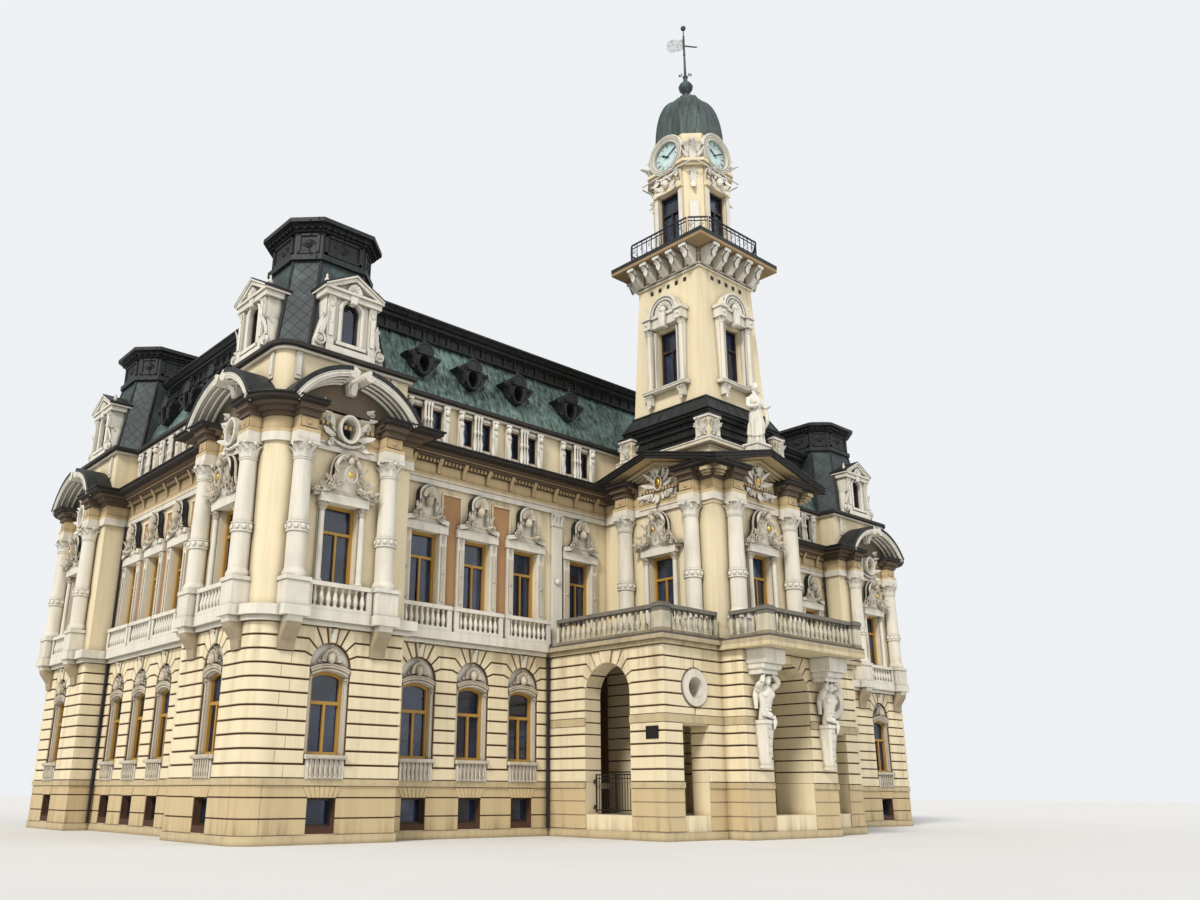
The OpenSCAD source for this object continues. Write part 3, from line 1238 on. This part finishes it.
// Downspouts stand off the wall on brackets, clear of the courses
pipe_off = 140;
module pipe_run(z0, z1) {
  translate([0, 0, z0]) cylinder(h = z1 - z0, r = 55, $fn = 24);
  for (z = [z0 + 400, (z0 + z1) / 2, z1 - 500]) block(-20, 0, z, 20, pipe_off, z + 40);
}
module downspout() {
  pipe_run(270, storey_top - seat);
  pipe_run(sill_top + seat, entab_z - seat);
}
module pintles() for (sx = [-1, 1], sy = [-1, 1]) gate_place(sx, sy) for (z = gate_eyes) translate([0,
  0, z]) {
  block(-20, -gate_axis_in, -45, 20, 14, -5);
  translate([0, 0, -6]) cylinder(h = gate_eye_h, r = pin_r, $fn = 32);
}
module wall_ironwork() color(iron) placed() {
  corners() {
    translate([pavilion_w + pipe_off, wing_setback - pipe_off, 0]) downspout();
    translate([wing_setback - pipe_off, pavilion_w + pipe_off, 0]) rotate(-90) downspout();
  }
  for (s = [-1, 1]) translate([s * (porch_half + 170), wing_y - pipe_off, 0]) pipe_run(270,
    storey_top - seat);
  pintles();
}

// Gate leaves in the side arches, hung on pintles in the jambs
gate_axis_in = 45;
gate_eye_h = 95;
gate_low = porch_floor_z + 60;
gate_top = porch_floor_z + gate_h;
gate_eyes = [gate_low + 150, gate_top - 260];
gate_len = side_arch_w / 2 - gate_axis_in - gate_clear / 2;
module gate_place(sx, sy) translate([sx * (porch_half - porch_t / 2),
  tower_y + sy * (side_arch_w / 2 - gate_axis_in), 0])
  mirror([0, sy > 0 ? 1 : 0, 0]) children();
module gate_leaf() {
  block(-20, 70, gate_low, 20, 110, gate_top);
  block(-20, gate_len - 40, gate_low, 20, gate_len, gate_top);
  block(-15, 109, gate_low + 60, 15, gate_len - 39, gate_low + 100);
  block(-15, 109, gate_top - 160, 15, gate_len - 39, gate_top - 130);
  block(-15, 109, gate_top - 40, 15, gate_len - 39, gate_top);
  for (i = [1:6]) translate([0, 110 + i * (gate_len - 150) / 7, 0]) block(-9, -9, gate_low + 99, 9, 9,
    gate_top - 39);
  for (z = gate_eyes) translate([0, 0, z]) difference() {
    union() {
      cylinder(h = gate_eye_h - 10, r = pin_r + 12, $fn = 32);
      block(-12, 0, 0, 12, 71, gate_eye_h - 10);
    }
    translate([0, 0, -1]) cylinder(h = gate_eye_h, r = pin_r + running, $fn = 32);
  }
}
module gate_left_front() color(iron) placed() gate_place(-1, -1) gate_leaf();
module gate_left_rear() color(iron) placed() gate_place(-1, 1) gate_leaf();
module gate_right_front() color(iron) placed() gate_place(1, -1) gate_leaf();
module gate_right_rear() color(iron) placed() gate_place(1, 1) gate_leaf();

// Clock hands, drawn pointing up and turned to ten past ten
module hand_frame(i) on_tower() rotate(90 * i) translate([0, -dial_face, dial_z]) children();
module hour_shape() along_y(-22, -14) polygon([[-16, -120], [16, -120], [30, 60], [50, 280], [0, 400],
  [-50, 280], [-30, 60]]);
module minute_shape() along_y(-46, -38) polygon([[-14, -160], [14, -160], [22, 60], [32, 450],
  [0, 600], [-32, 450], [-22, 60]]);
module hour_hand(i) color(iron) hand_frame(i) difference() {
  union() {
    rotate([0, -55, 0]) hour_shape();
    rotate([90, 0, 0]) translate([0, 0, 13]) cylinder(h = 10, r = pipe_r + 22, $fn = 48);
    rotate([90, 0, 0]) translate([0, 0, -160]) cylinder(h = 174, r = pipe_r, $fn = 32);
  }
  rotate([90, 0, 0]) translate([0, 0, -400]) cylinder(h = 800, r = arbor_r + running, $fn = 32);
}
module minute_hand(i) color(iron) hand_frame(i) {
  rotate([0, 60, 0]) minute_shape();
  rotate([90, 0, 0]) translate([0, 0, 37]) cylinder(h = 10, r = 34, $fn = 48);
  rotate([90, 0, 0]) translate([0, 0, -200]) cylinder(h = 238, r = arbor_r, $fn = 32);
}
module minute_hand_front() minute_hand(0);
module hour_hand_front() hour_hand(0);
module minute_hand_left() minute_hand(3);
module hour_hand_left() hour_hand(3);

front_left_wing_wall();
front_right_wing_wall();
left_wing_wall();
right_wing_wall();
rear_wing_wall();
front_pavilion_walls();
rear_pavilion_walls();
tower_pavilion_walls();
porch_side_walls();
porch_inner_walls();
porch_entrance_arch();
porch_terrace();
terrace_balustrade();
atlantes();
floor_slabs();
plinth_courses();
sill_cornice();
main_entablature();
main_gutter();
columns();
window_balustrades();
oculus_frames();
ground_window_surrounds();
upper_window_surrounds();
window_frames();
window_panes();
pediments();
tower_gables();
attic_walls();
attic_pilasters();
attic_cornice();
wing_mansard();
ridge_cornice();
upper_roof();
pavilion_roofs();
pavilion_crowns();
pavilion_dormers();
oval_dormers();
tower_base();
tower_skirt();
tower_shaft();
shaft_windows();
gallery_slab();
gallery_railing();
belfry();
clock_surrounds();
clock_dials();
dome_and_finial();
statue();
wall_ironwork();
weathervane();
gate_left_front();
gate_left_rear();
gate_right_front();
gate_right_rear();
minute_hand_front();
hour_hand_front();
minute_hand_left();
hour_hand_left();
